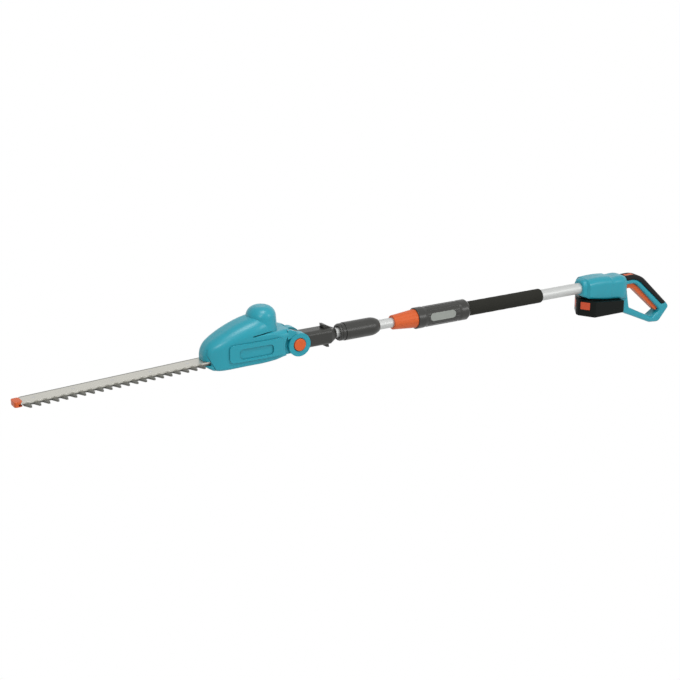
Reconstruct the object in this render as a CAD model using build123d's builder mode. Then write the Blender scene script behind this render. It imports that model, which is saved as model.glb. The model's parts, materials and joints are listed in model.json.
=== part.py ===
from build123d import *

import math
import os

# Pole hedge trimmer: a battery handle, a telescopic pole and a tilting cutting head.
# Millimetres. +X runs along the pole towards the handle, +Z is up, left is -Y.
# The origin is on the pole's axis, in the bare stretch of the outer tube.

os.makedirs("parts", exist_ok=True)

# --- clearances -------------------------------------------------------------
fit = 0.05  # a pin in its bore, a tube in a tube
slide = 0.1  # flat faces that slide on each other
run = 0.3  # pieces that move past each other
room = 1.0  # free space around hidden moving pieces
breach = 5.0  # how far a cutting tool runs past the face it leaves

# --- pole -------------------------------------------------------------------
outer_tube_radius = 12.5
inner_tube_radius = 10.5
tube_wall = 0.9
bare_front = 60.0  # origin to the foam grip
bare_rear = 50.0  # origin to the rear housing
foam_length = 198.7
foam_radius = 16.1
foam_round = 3.0
sleeve_length = 132.3
sleeve_radius = 21.5
sleeve_rim_radius = 23.0
sleeve_rim_length = 17.0
sleeve_rim_slope = 8.0
sleeve_bulge_radius = 22.5
sleeve_bulge_length = 27.0
sleeve_tail_radius = 19.0
sleeve_tail_length = 5.0
sleeve_rib_count = 12
sleeve_rib_radius = 0.8
badge_length = 65.0
badge_width = 17.0
badge_thick = 1.2
badge_turn = 7.0  # degrees up from the left side
badge_from_rear = 38.3
tube_nose = 15.0  # outer tube ahead of the sleeve
collet_socket = 10.0
collet_length = 40.0
collet_radius = 13.6
collet_tip_radius = 12.4
collet_slot = 1.6
collet_slot_length = 26.0
nut_length = 58.0
nut_entry = 2.0
nut_front_radius = 15.3
nut_rear_radius = 20.0
nut_lip = 4.0
nut_flutes = 14
nut_flute_radius = 1.6
nut_flute_depth = 0.7
bare_inner = 36.0
bush_length = 24.0
tube_entry = 100.0  # outer tube inside the rear housing
inner_stop = 10.0  # inner tube's rear end to the outer tube's

# --- head socket and union nut ----------------------------------------------
socket_length = 83.0
socket_radius = 19.3
socket_tail_radius = 13.5
socket_tail_length = 20.0
socket_grip = 52.0  # inner tube inside the socket
socket_web = 3.0
socket_hole_radius = 6.0
spigot_length = 9.0
spigot_radius = 16.0
ring_length = 14.0
ring_radius = 18.2
ring_lip_radius = 16.8
ring_lip_length = 3.0
ring_mouth_radius = 14.6
ring_mouth_length = 4.0
ring_groove = 0.8
ring_groove_place = 5.0
neck_show = 7.5

# --- arm --------------------------------------------------------------------
arm_taper = 15.5
arm_tail_radius = 12.2
arm_half_width = 19.0
arm_half_height = 17.0
arm_round = 9.0
arm_reach = 82.0  # shoulder to the tilt pivot
neck_grip = 22.0  # neck tube inside the arm
knuckle_radius = 22.0
knuckle_half = 13.0
ear_radius = 24.8
ear_face = 31.0
pivot_pin_radius = 6.0
button_radius = 13.0
button_proud = 2.5
button_thick = 8.0
button_travel = 5.0
button_round = 1.6
button_gap = 1.3
core_radius = 10.0
core_depth = 4.0
latch_length = 18.0
latch_half_width = 8.0
latch_rise = 10.0
latch_hook = 5.0
latch_lip = 1.0
latch_pin_radius = 1.2
latch_pin_grip = 4.0
latch_boss_wall = 1.0
latch_sink = 2.8  # latch pin below the arm's surface
latch_tail = 4.0
latch_offset = -5.9
arm_wall = 3.0
arm_screw_radius = 2.0
arm_screw_head = 3.6
arm_screw_first = 33.0
arm_screw_pitch = 20.0
arm_screw_height = 10.0
pin_head_radius = 10.0
pin_head_thick = 2.0
ear_neck = 18.0
ear_neck_face = 23.0
horn_inner = 20.0  # the ears' raised roots clear the arm's shoulders by this
horn_face = 30.0

# --- drive and blades -------------------------------------------------------
head_reach = 108.8  # tilt pivot to the drive gear's axis
blade_droop = 2.0  # degrees
bar_height_at_gear = -3.0
bar_thick = 3.2
bar_half_width = 17.8
bar_rear = 26.0  # drive axis to the bar's rear end
bar_tip = 484.0  # drive axis to the bar's tip
bar_tip_half = 8.0
bar_tip_taper = 15.0
blade_thick = 2.0
blade_half_width = 16.0
blade_tip_half = 31.0
tooth_count = 21
tooth_pitch = 17.94
tooth_root = 10.0
tooth_tip = 3.4
tooth_lean = 4.0  # the tips lean back towards the head
last_tooth_reach = 108.4  # drive axis to the tooth nearest the head
stroke = 8.0  # each way
yoke_half_width = 25.0
yoke_wall = 4.0
sine_room = 1.9  # the yoke's slot is wider by this
rivet_radius = 2.5
rivet_head_radius = 4.2
rivet_head = 1.2
rivet_washer = 1.5
rivet_washer_radius = 6.0
rivet_count = 5
rivet_first = 128.0
rivet_pitch = 80.0
guard_length = 16.0
guard_nose = 5.0
guard_height = 10.5
guard_above = 1.6
guard_half_width = 13.0
axle_radius = 4.0
eccentric_radius = 13.4
gear_radius = 31.0
gear_thick = 8.0
gear_lift = 4.0
gear_teeth = 57
gear_tooth_depth = 1.6
hub_radius = 8.0
pinion_radius = 4.9
pinion_teeth = 9
mesh_gap = 0.4
base_thick = 4.0
base_front = 64.0
base_rear = 40.0
tongue_half = 18.0
seat_rib = 4.0
seat_rib_front = 58.0
seat_rib_rear = 24.0
seat_rib_front_drop = 8.0
seat_rib_rear_drop = 9.0
post_radius = 3.0
post_along = 32.0
post_across = 27.5
cover_thick = 3.5
cover_front = 38.0
bolt_radius = 2.5
bolt_head_radius = 4.5
bolt_head = 3.0
bar_bolt_first = 36.0
bar_bolt_pitch = 20.0
motor_radius = 20.0
motor_length = 46.0
motor_wall = 1.5
magnet_thick = 3.0
magnet_span = 130.0  # degrees
armature_radius = 14.0
armature_length = 26.0
commutator_radius = 6.0
commutator_length = 7.0
armature_slots = 8
armature_slot_radius = 1.8
shaft_radius = 1.6
end_bell = 6.0

# --- head shells ------------------------------------------------------------
nose_reach = 98.3  # drive axis to the nose
# behind the nose, half width, sole, top, crown
nose_sections = [
    (0.0, 9.0, -13.0, 7.0, 7.0),
    (3.0, 15.0, -17.0, 16.0, 11.0),
    (8.0, 20.0, -20.5, 24.0, 15.0),
    (16.0, 24.5, -25.0, 31.5, 18.0),
]
head_sections = [
    (16.0, 24.5, -25.0, 31.5, 18.0),
    (28.0, 29.0, -26.5, 38.5, 21.0),
    (52.0, 33.5, -26.0, 50.5, 25.0),
    (80.0, 36.0, -24.5, 61.5, 28.0),
    (108.0, 36.3, -24.0, 69.0, 29.0),
]
# the upper body closes on the motor's dome
upper_sections = [
    (108.0, 36.3, -24.0, 69.0, 29.0),
    (121.0, 35.0, -23.5, 71.8, 29.5),
    (134.6, 32.4, -22.0, 73.0, 30.0),
]
# the lower body runs on as a ledge to the ears
ledge_sections = [
    (98.0, 36.4, -24.0, 35.0, 3.0),
    (122.0, 37.0, -23.8, 37.2, 3.0),
    (146.0, 37.0, -22.0, 38.2, 5.0),
]
ledge_rear_sections = [
    (146.0, 37.0, -22.0, 38.2, 5.0),
    (156.0, 36.0, -21.0, 37.2, 9.0),
    (166.0, 34.0, -19.6, 36.2, 12.0),
    (175.0, 32.0, -18.8, 35.6, 12.0),
    (187.0, 30.0, -18.4, 35.0, 12.0),
]
# the raised roots of the ears: ahead of the pivot, height
horn_outline = [(27.0, 34.0), (20.0, 34.0), (9.0, 30.0), (4.0, 22.0), (27.0, 14.0)]

head_half_width = 37.0
head_wall = 3.0
sole_round = 5.0
dome_foot_radius = 36.0
dome_taper = 4.6  # degrees
dome_top = 87.0
dome_round = 22.0
ear_gap_radius = 35.0
slot_depth = 12.0
# the seam across the nose: behind the nose, height
seam_line = [(7.1, 18.5), (4.6, 9.0), (8.6, 0.0), (15.1, -13.6), (22.1, -27.0)]
seam_width = 1.3
seam_depth = 1.0
panel_proud = 3.0
panel_start = 47.0
panel_length = 119.0
panel_foot = -12.0
panel_top = 25.0
panel_round = 9.0
field_margin = 21.0
field_length = 75.0
field_foot = -6.5
field_top = 15.0
field_round = 8.0
slit_start = 98.6  # behind the nose
slit_length = 48.0
slit_height = 38.9
slit_turn = 4.3  # degrees, with the ledge
slit_width = 2.2
slit_deep = 6.0
screw_radius = 2.0
screw_head_radius = 3.8
screw_sink = 2.0
screw_reach = -30.0
screw_boss_radius = 5.0
screw_front = 50.0
screw_front_height = 20.0
screw_crown = 90.0
screw_crown_height = 38.0
screw_rear = 14.0
screw_rear_height = -6.0

# --- rear housing -----------------------------------------------------------
body_length = 126.0  # housing front to the finger hole
handle_half_width = 16.0
housing_wall = 2.6
housing_sole_round = 6.0
rib_thick = 4.0
rib_spacing = 36.0
cavity_floor = -21.5
collar_length = 16.0
# behind the housing's front, half width, sole, top, crown
housing_front_sections = [
    (0.0, 16.0, -15.0, 16.4, 12.5),
    (2.0, 18.4, -16.6, 18.8, 14.0),
    (5.0, 19.8, -17.8, 20.4, 14.6),
    (8.5, 20.8, -18.6, 21.2, 15.0),
]
housing_shoulder_sections = [
    (8.5, 20.8, -18.6, 21.2, 15.0),
    (11.5, 27.0, -20.2, 22.4, 16.0),
]
housing_sections = [
    (11.5, 27.0, -20.2, 22.4, 16.0),
    (41.0, 27.0, -26.2, 23.6, 16.0),
    (body_length - 52.0, 27.0, -30.6, 21.5, 16.0),
]
housing_rear_sections = [
    (body_length - 52.0, 26.4, -30.6, 20.2, 15.0),
    (body_length - 43.0, 26.0, -31.6, 17.8, 14.0),
    (body_length - 27.0, 26.0, -33.5, 18.0, 14.0),
    (body_length - 12.0, 24.5, -36.5, 17.0, 14.0),
    (body_length - 2.0, 19.0, -38.0, 12.0, 11.5),
]
pad_thick = 12.0
pad_half_width = 16.6
pad_round = 7.5
# the handle's corners, behind the finger hole's front edge: along, height, round
handle_outline = [
    (-22.0, 4.0, 0),
    (31.0, 4.0, 45.0),
    (109.0, -68.0, 0),
    (123.0, -66.5, 3.0),
    (132.0, -78.0, 7.0),
    (103.0, -112.0, 13.0),
    (76.0, -109.5, 12.0),
    (-12.0, -70.0, 9.0),
    (-22.0, -40.0, 0),
]
pad_outline = [
    (-1.0, 13.0, 2.0),
    (40.6, 13.0, 60.0),
    (123.0, -66.5, 0),
    (109.0, -68.0, 0),
    (31.0, 4.0, 45.0),
    (-5.0, 4.0, 0),
]
hole_outline = [
    (1.0, -7.0, 3.0),
    (27.0, -7.0, 25.0),
    (106.0, -84.0, 6.0),
    (83.0, -98.5, 7.0),
    (12.0, -63.0, 8.0),
]
handle_round = 5.0
slot_outline = [
    (1.0, -20.0, 0),
    (1.0, -0.4, 0),
    (27.0, -0.4, 15.0),
    (107.0, -69.0, 3.0),
    (107.0, -84.0, 0),
    (90.0, -84.0, 0),
]
trigger_outline = [
    (2.5, -18.0, 3.0),
    (22.0, -18.0, 25.0),
    (96.0, -84.5, 3.0),
    (103.0, -78.0, 2.0),
    (103.0, -68.5, 2.0),
    (24.5, -7.2, 22.0),
    (2.5, -7.2, 2.0),
]
trigger_half_width = 8.5
trigger_pin_along = 94.0
trigger_pin_height = -66.0
trigger_pin_radius = 2.0
trigger_pin_grip = 3.0
lock_front = 2.0  # behind the finger hole's front edge
lock_length = 26.0
lock_half_width = 7.0
lock_top = 11.9
lock_deep = 5.5
lock_travel = 3.0
switch_along = 52.0
switch_height = -18.8
switch_length = 20.0
switch_deep = 3.6
switch_half_width = 5.0
switch_turn = -41.0  # degrees, with the grip
board_thick = 1.6
board_height = 14.0
board_half_width = 17.0
terminal_length = 12.0
terminal_half_width = 12.0
terminal_height = 12.0
terminal_z = -46.0
contact_count = 3
contact_pitch = 8.0
contact_thick = 1.0
contact_reach = 6.0
contact_height = 6.0
housing_screw_sites = [
    (9.0, 16.5),
    (body_length - 12.0, 8.0),
    (body_length + 6.0, -76.5),
    (body_length + 110.0, -92.0),
]
housing_screw_radius = 2.0
housing_screw_head = 3.8
housing_screw_sink = 5.0
housing_screw_reach = 11.0

# --- battery ----------------------------------------------------------------
battery_web = 21.0  # housing between the pack and the finger hole
battery_length = 107.0
battery_half_width = 38.0
battery_nose = 22.0
battery_nose_half = 4.0
battery_corner = 5.0
battery_base = -63.5
battery_joint = -51.5
battery_base_round = 3.5
battery_brow = -31.0  # height of the battery's front edge
battery_brow_length = 11.0
battery_shoulder = -25.0  # height of its top behind the brow
battery_tail = -35.2  # height of its top at the rear
rail_top = -25.0
rail_flange = 4.0
rail_front = 20.0  # rail behind the battery's front
rail_neck_half = 17.0
rail_half = 20.0
case_wall = 2.2
release_width = 22.0
release_height = 17.0
release_z = -38.2
release_along = 16.5  # middle of a release button along the nose's slope
release_thick = 4.0
release_travel = 2.5
release_proud = 0.8
cell_count = 4
cell_radius = 9.0
cell_pitch = 19.0
cell_length = 65.0

# --- stations along the pole ------------------------------------------------
x_foam_rear = -bare_front
x_foam_front = x_foam_rear - foam_length
x_sleeve_front = x_foam_front - sleeve_length
x_tube_front = x_sleeve_front - tube_nose
x_collet_rear = x_tube_front + collet_socket
x_collet_front = x_tube_front - collet_length
x_nut_rear = x_sleeve_front + nut_entry
x_nut_front = x_nut_rear - nut_length
x_socket_rear = x_nut_front - bare_inner
x_socket_front = x_socket_rear - socket_length
x_inner_front = x_socket_rear - socket_grip
x_spigot_front = x_socket_front - spigot_length
x_ring_rear = x_socket_front - run
x_ring_front = x_socket_front - ring_length
x_arm_rear = x_ring_front - neck_show
x_arm_shoulder = x_arm_rear - arm_taper
x_pivot = x_arm_shoulder - arm_reach
x_drive = x_pivot - head_reach
x_housing_front = bare_rear
x_tube_rear = x_housing_front + tube_entry
x_inner_rear = x_tube_rear - inner_stop
x_hole_front = x_housing_front + body_length

dome_behind_gear = gear_radius + mesh_gap + pinion_radius
outer_bore = outer_tube_radius - tube_wall
inner_bore = inner_tube_radius - tube_wall

# The blades droop, so everything that drives them stands square to this plane:
# its origin is on the gear's axis at the top of the guide bar, its x runs back
# along the bar and its z is up.
droop = math.radians(blade_droop)
drive = Plane(
    origin=(x_drive, 0, bar_height_at_gear),
    x_dir=(math.cos(droop), 0, math.sin(droop)),
    z_dir=(-math.sin(droop), 0, math.cos(droop)),
)


def keep(part, name):
    """Label a finished piece and write it."""
    part.label = name
    export_step(part, f"parts/{name}.step")


def turned(points, mode=Mode.ADD):
    """Revolve (x, radius) points about the pole's axis, closed along that axis."""
    with BuildSketch(Plane.XZ) as profile:
        with BuildLine():
            ends = [(points[0][0], 0)] + list(points) + [(points[-1][0], 0)]
            Polyline(*ends, close=True)
        make_face()
    revolve(profile.sketch, axis=Axis.X, mode=mode)


def bore(radius, x_from, x_to):
    """A round hole along the pole's axis."""
    turned([(x_from, radius), (x_to, radius)], Mode.SUBTRACT)


def tube(outer, inner, x_from, x_to):
    """A plain tube along the pole's axis."""
    turned([(x_from, outer), (x_to, outer)])
    bore(inner, x_from - breach, x_to + breach)


def side_disc(radius, x, z, y_from, y_to, mode=Mode.ADD):
    """A disc or a hole across the pole, between two distances to the side."""
    with BuildSketch(Plane.XZ.offset(-y_to)) as disc:
        with Locations((x, z)):
            Circle(radius)
    extrude(disc.sketch, amount=y_to - y_from, mode=mode)


def hull_section(x, half_width, bottom, top, crown, sole):
    """One cross-section of a moulded body, with its own roundness above and below."""
    with BuildSketch(Plane.YZ.offset(x)) as section:
        with Locations((0, (top + bottom) / 2)):
            Rectangle(2 * half_width, top - bottom)
        fillet(section.vertices().group_by(Axis.Y)[-1], crown)
        fillet(section.vertices().group_by(Axis.Y)[0], sole)
    return section.sketch


# === outer pole =============================================================
with BuildPart() as outer_tube:
    tube(outer_tube_radius, outer_bore, x_tube_front, x_tube_rear)
keep(outer_tube.part, "outer_tube")

with BuildPart() as foam_grip:
    tube(foam_radius, outer_tube_radius, x_foam_front, x_foam_rear)
    fillet(foam_grip.edges().filter_by(GeomType.CIRCLE).sort_by(SortBy.RADIUS)[-2:], foam_round)
keep(foam_grip.part, "foam_grip")

# The sleeve clamps the tube's front end. Its profile runs from the rear to the front rim.
x_rim_back = x_sleeve_front + sleeve_rim_length
x_bulge_front = x_foam_front - sleeve_bulge_length
with BuildPart() as clamp_sleeve:
    turned(
        [
            (x_foam_front, sleeve_tail_radius),
            (x_foam_front - sleeve_tail_length, sleeve_bulge_radius),
            (x_bulge_front + sleeve_tail_length, sleeve_bulge_radius),
            (x_bulge_front, sleeve_radius),
            (x_rim_back + sleeve_rim_slope, sleeve_radius),
            (x_rim_back, sleeve_rim_radius),
            (x_sleeve_front + tube_wall, sleeve_rim_radius),
            (x_sleeve_front, sleeve_rim_radius - tube_wall),
        ]
    )
    bore(outer_tube_radius, x_sleeve_front - breach, x_foam_front + breach)
    bore(nut_rear_radius + run, x_sleeve_front - breach, x_nut_rear + run)
    rib_front = x_rim_back + sleeve_rim_slope
    for k in range(sleeve_rib_count):
        turn = math.radians(badge_turn) + math.tau * (k + 0.5) / sleeve_rib_count
        rib_seat = Plane(
            origin=(rib_front, -sleeve_radius * math.cos(turn), sleeve_radius * math.sin(turn)),
            z_dir=(1, 0, 0),
        )
        with BuildSketch(rib_seat):
            Circle(sleeve_rib_radius)
        extrude(amount=x_bulge_front - rib_front)
    # a flat seat for the badge
    badge_plane = Plane(
        origin=(x_foam_front - badge_from_rear - badge_length / 2, 0, 0),
        x_dir=(1, 0, 0),
        z_dir=(0, -math.cos(math.radians(badge_turn)), math.sin(math.radians(badge_turn))),
    )
    badge_seat = math.sqrt(sleeve_radius**2 - (badge_width / 2) ** 2)
    with BuildSketch(badge_plane.offset(badge_seat)):
        SlotOverall(badge_length + 2 * slide, badge_width + 2 * slide)
    extrude(amount=breach, mode=Mode.SUBTRACT)
keep(clamp_sleeve.part, "clamp_sleeve")

with BuildPart() as badge_plate:
    with BuildSketch(badge_plane.offset(badge_seat)):
        SlotOverall(badge_length, badge_width)
    extrude(amount=badge_thick)
    badge_rim = badge_plate.edges().group_by(Axis(badge_plane.origin, badge_plane.z_dir))[-1]
    fillet(badge_rim, badge_thick / 3)
keep(badge_plate.part, "badge_plate")

with BuildPart() as clamp_collet:
    turned(
        [
            (x_collet_rear, collet_radius),
            (x_tube_front, collet_radius),
            (x_collet_front, collet_tip_radius),
        ]
    )
    bore(inner_tube_radius + fit, x_collet_front - breach, x_collet_rear + breach)
    bore(outer_tube_radius, x_tube_front, x_collet_rear + breach)
    for across in (Plane.XZ, Plane.XY):
        with BuildSketch(across):
            with Locations((x_collet_front + collet_slot_length / 2, 0)):
                Rectangle(collet_slot_length, collet_slot)
        extrude(amount=2 * collet_radius, both=True, mode=Mode.SUBTRACT)
keep(clamp_collet.part, "clamp_collet")

with BuildPart() as clamp_nut:
    turned(
        [
            (x_nut_rear, nut_rear_radius),
            (x_nut_rear - nut_lip, nut_rear_radius),
            (x_nut_front + tube_wall, nut_front_radius),
            (x_nut_front, nut_front_radius - tube_wall),
        ]
    )
    bore(inner_tube_radius + run, x_nut_front - breach, x_nut_rear + breach)
    turned(
        [
            (x_collet_front - run, collet_tip_radius + fit + run),
            (x_tube_front, collet_radius + fit),
            (x_nut_rear + breach, collet_radius + fit),
        ],
        Mode.SUBTRACT,
    )
    # flutes run down the cone, dying out at the front
    cone_length = nut_length - nut_lip
    cone_rise = nut_rear_radius - nut_front_radius
    for k in range(nut_flutes):
        turn = math.tau * (k + 0.5) / nut_flutes
        reach = nut_front_radius + nut_flute_radius
        lean = (cone_length, (cone_rise - nut_flute_depth))
        flute_plane = Plane(
            origin=(x_nut_front, reach * math.cos(turn), reach * math.sin(turn)),
            z_dir=(lean[0], lean[1] * math.cos(turn), lean[1] * math.sin(turn)),
        )
        with BuildSketch(flute_plane):
            Circle(nut_flute_radius)
        extrude(amount=nut_length + breach, mode=Mode.SUBTRACT)
keep(clamp_nut.part, "clamp_nut")

# === inner pole =============================================================
with BuildPart() as inner_tube:
    tube(inner_tube_radius, inner_bore, x_inner_front, x_inner_rear)
keep(inner_tube.part, "inner_tube")

with BuildPart() as guide_bush:
    tube(outer_bore - fit, inner_tube_radius, x_inner_rear - bush_length, x_inner_rear)
keep(guide_bush.part, "guide_bush")

x_neck_front = x_inner_front - socket_web
with BuildPart() as pole_socket:
    with BuildSketch(Plane.XZ):
        with BuildLine():
            shoulder = x_socket_rear - socket_tail_length
            Polyline(
                (shoulder, socket_radius),
                (x_socket_front, socket_radius),
                (x_socket_front, 0),
                (x_socket_rear, 0),
                (x_socket_rear, socket_tail_radius),
            )
            TangentArc((shoulder, socket_radius), (x_socket_rear, socket_tail_radius), tangent=(1, 0))
        make_face()
    revolve(axis=Axis.X)
    turned([(x_spigot_front, spigot_radius), (x_socket_front + breach, spigot_radius)])
    bore(inner_tube_radius, x_inner_front, x_socket_rear + breach)
    bore(socket_hole_radius, x_spigot_front, x_socket_rear)
    bore(inner_tube_radius + fit, x_spigot_front - breach, x_neck_front)
keep(pole_socket.part, "pole_socket")

x_groove = x_ring_front + ring_groove_place
with BuildPart() as union_nut:
    turned(
        [
            (x_ring_rear, ring_radius),
            (x_groove + ring_groove, ring_radius),
            (x_groove + ring_groove, ring_radius - ring_groove),
            (x_groove, ring_radius - ring_groove),
            (x_groove, ring_radius),
            (x_ring_front + ring_lip_length, ring_radius),
            (x_ring_front, ring_lip_radius),
        ]
    )
    bore(inner_tube_radius + run, x_ring_front - breach, x_ring_rear + breach)
    bore(spigot_radius + fit, x_spigot_front - run, x_ring_rear + breach)
    turned(
        [
            (x_ring_front - fit, ring_mouth_radius),
            (x_ring_front + ring_mouth_length, inner_tube_radius + run),
        ],
        Mode.SUBTRACT,
    )
keep(union_nut.part, "union_nut")

# === arm ====================================================================
with BuildPart() as neck_tube:
    tube(inner_tube_radius, inner_bore, x_arm_rear - neck_grip, x_neck_front - fit)
keep(neck_tube.part, "neck_tube")

latch_boss = latch_pin_radius + latch_boss_wall
z_latch = arm_half_height - latch_sink
x_latch_top = x_arm_shoulder + latch_tail
x_latch_bottom = x_latch_top - latch_length + latch_offset


def latch(side, x_pin, ahead):
    """A sprung lug on its pin: side is 1 above the arm, ahead is the way its free end points."""
    seat = Plane(origin=(x_pin, 0, side * z_latch), x_dir=(ahead, 0, 0), z_dir=(0, -ahead * side, 0))
    with BuildSketch(seat) as outline:
        with BuildLine():
            Polyline(
                (0, latch_boss),
                (latch_length - latch_hook, latch_rise),
                (latch_length + latch_lip, latch_rise + latch_lip),
                (latch_length, latch_sink - latch_lip),
                (latch_length, -latch_pin_radius / 2),
                (0, -latch_boss),
                close=True,
            )
        make_face()
        Circle(latch_boss)
        Circle(latch_pin_radius + fit, mode=Mode.SUBTRACT)
    extrude(outline.sketch, amount=latch_half_width, both=True)


def latch_pocket(side, x_pin, ahead):
    """The pocket that a latch swings in."""
    length = latch_length + latch_lip + latch_boss + 2 * room
    depth = latch_sink + latch_boss + run
    centre = x_pin + ahead * (length / 2 - latch_boss - room)
    with BuildSketch(Plane.XZ) as pocket:
        with Locations((centre, side * (arm_half_height - depth / 2 + breach / 2))):
            Rectangle(length, depth + breach)
    extrude(pocket.sketch, amount=latch_half_width + run, both=True, mode=Mode.SUBTRACT)
    reach = latch_half_width + latch_pin_grip
    side_disc(latch_pin_radius, x_pin, side * z_latch, -reach, reach, Mode.SUBTRACT)


def screw(x, z, y_head, y_tip, shank, head, sink):
    """A pan-head screw across the pole, put in from the right side."""
    side_disc(shank, x, z, y_tip, y_head)
    side_disc(head, x, z, y_head - sink, y_head)


def screw_hole(x, z, y_head, y_tip, shank, head, sink):
    """The hole of the same screw, open to the right."""
    side_disc(shank, x, z, y_tip, y_head, Mode.SUBTRACT)
    side_disc(head, x, z, y_head - sink, y_head + 3 * breach, Mode.SUBTRACT)


arm_screw_sites = []
for along in (arm_screw_first, arm_screw_first + arm_screw_pitch):
    for side in (-1, 1):
        arm_screw_sites.append((x_pivot + along, side * arm_screw_height))
arm_screw_size = (
    arm_half_width - room,
    -arm_half_width + arm_wall,
    arm_screw_radius,
    arm_screw_head,
    room,
)

with BuildPart() as arm_body:
    half_height = arm_half_height
    front = hull_section(x_pivot, arm_half_width, -half_height, half_height, arm_round, arm_round)
    shoulder = hull_section(x_arm_shoulder, arm_half_width, -half_height, half_height, arm_round, arm_round)
    tail = arm_tail_radius
    rear = hull_section(x_arm_rear, tail, -tail, tail, tail - fit, tail - fit)
    loft([front, shoulder])
    loft([shoulder, rear])
    # the ears sweep past the shoulders, and the knuckle turns between them
    clear_of_ears = knuckle_half + 2 * breach
    side_disc(ear_radius + room, x_pivot, 0, knuckle_half, clear_of_ears, Mode.SUBTRACT)
    side_disc(ear_radius + room, x_pivot, 0, -clear_of_ears, -knuckle_half, Mode.SUBTRACT)
    side_disc(knuckle_radius, x_pivot, 0, -knuckle_half, knuckle_half)
    y_knuckle = knuckle_half + breach
    side_disc(pivot_pin_radius + fit, x_pivot, 0, -y_knuckle, y_knuckle, Mode.SUBTRACT)
    core_end = -knuckle_half + core_depth + button_travel + run
    side_disc(core_radius + fit, x_pivot, 0, -y_knuckle, core_end, Mode.SUBTRACT)
    bore(inner_tube_radius, x_arm_rear - neck_grip, x_arm_rear + breach)
    bore(socket_hole_radius, x_pivot + knuckle_radius, x_arm_rear)
    latch_pocket(1, x_latch_top, -1)
    latch_pocket(-1, x_latch_bottom, 1)
    for x, z in arm_screw_sites:
        screw_hole(x, z, *arm_screw_size)
keep(split(arm_body.part, bisect_by=Plane.XZ, keep=Keep.TOP), "arm_shell_left")
keep(split(arm_body.part, bisect_by=Plane.XZ, keep=Keep.BOTTOM), "arm_shell_right")

with BuildPart() as arm_screws:
    for x, z in arm_screw_sites:
        screw(x, z, *arm_screw_size)
keep(arm_screws.part, "arm_screws")

with BuildPart() as latch_pins:
    reach = latch_half_width + latch_pin_grip
    side_disc(latch_pin_radius, x_latch_top, z_latch, -reach, reach)
    side_disc(latch_pin_radius, x_latch_bottom, -z_latch, -reach, reach)
keep(latch_pins.part, "latch_pins")

with BuildPart() as latch_top:
    latch(1, x_latch_top, -1)
keep(latch_top.part, "latch_top")

with BuildPart() as latch_bottom:
    latch(-1, x_latch_bottom, 1)
keep(latch_bottom.part, "latch_bottom")

# === tilt joint =============================================================
y_button_face = -ear_face - button_proud
y_button_back = y_button_face + button_thick
y_ear_web = y_button_back + button_travel + room
ear_gap = knuckle_half + run

with BuildPart() as tilt_button:
    side_disc(button_radius, x_pivot, 0, y_button_face, y_button_back)
    fillet(tilt_button.edges().group_by(Axis.Y)[0], button_round)
keep(tilt_button.part, "tilt_button")

with BuildPart() as lock_core:
    y_core = -knuckle_half + core_depth
    side_disc(core_radius, x_pivot, 0, y_button_back, y_core)
    side_disc(pivot_pin_radius + fit, x_pivot, 0, y_button_back, y_core, Mode.SUBTRACT)
keep(lock_core.part, "lock_core")

with BuildPart() as pivot_pin:
    side_disc(pivot_pin_radius, x_pivot, 0, y_ear_web, ear_face - pin_head_thick)
    side_disc(pin_head_radius, x_pivot, 0, ear_face - pin_head_thick, ear_face)
keep(pivot_pin.part, "pivot_pin")

# === head shells ============================================================
x_nose = x_drive - nose_reach


def hull_run(rows, origin, inset, sole):
    """A loft through cross-sections listed by their distance behind origin."""
    sections = []
    for behind, half_width, low, top, crown in rows:
        section = hull_section(
            origin + behind,
            half_width - inset,
            low + inset,
            top - inset,
            max(crown - inset, room),
            sole - inset,
        )
        sections.append(section)
    loft(sections)


def head_form(inset):
    """The head's moulded form, or the space inside it at a depth of inset."""
    if inset <= 0:
        hull_run(nose_sections, x_nose, inset, sole_round)
    hull_run(head_sections, x_nose, inset, sole_round)
    hull_run(upper_sections, x_nose, inset, sole_round)
    hull_run(ledge_sections, x_nose, inset, sole_round)
    hull_run(ledge_rear_sections, x_nose, inset, sole_round)
    side_disc(ear_gap_radius + inset, x_pivot, 0, -2 * head_half_width, 2 * head_half_width, Mode.SUBTRACT)


def dome_form(inset):
    """The motor's dome: a slight cone from inside the head up to its rounded top."""
    with BuildPart(mode=Mode.PRIVATE) as dome:
        with BuildSketch(Plane.XY) as plan:
            with Locations((x_drive + dome_behind_gear, 0)):
                Circle(dome_foot_radius - inset)
        extrude(plan.sketch, amount=dome_top - inset, taper=dome_taper)
        fillet(dome.edges().group_by(Axis.Z)[-1], dome_round - inset)
    return dome.part


def head_side(behind):
    """The head's half width at a distance behind its nose."""
    for near, far in zip(head_sections, head_sections[1:]):
        if near[0] <= behind <= far[0]:
            share = (behind - near[0]) / (far[0] - near[0])
            return near[1] + share * (far[1] - near[1])
    return head_half_width


def drive_disc(radius, u, v, w_from, w_to, mode=Mode.ADD):
    """A disc or a hole square to the blades, by its place on the drive plane."""
    with BuildSketch(drive.offset(w_from)) as disc:
        with Locations((u, v)):
            Circle(radius)
    extrude(disc.sketch, amount=w_to - w_from, mode=mode)


def drive_plate(u_from, u_to, half_width, w_from, w_to, corner=0, mode=Mode.ADD):
    """A flat plate along the blades, with round corners if asked."""
    with BuildSketch(drive.offset(w_from)) as plate:
        with Locations(((u_from + u_to) / 2, 0)):
            Rectangle(u_to - u_from, 2 * half_width)
        if corner > 0:
            fillet(plate.vertices(), corner)
    extrude(plate.sketch, amount=w_to - w_from, mode=mode)


w_bar = -bar_thick
w_upper_top = w_bar - slide
w_upper = w_upper_top - blade_thick
w_lower_top = w_upper - 2 * slide
w_lower = w_lower_top - blade_thick
u_nose = -nose_reach
u_motor = dome_behind_gear
w_gear = gear_lift
w_cover = gear_lift + gear_thick + room
w_motor = w_cover + cover_thick
w_base_top = w_lower - room
w_base = w_base_top - base_thick

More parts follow.
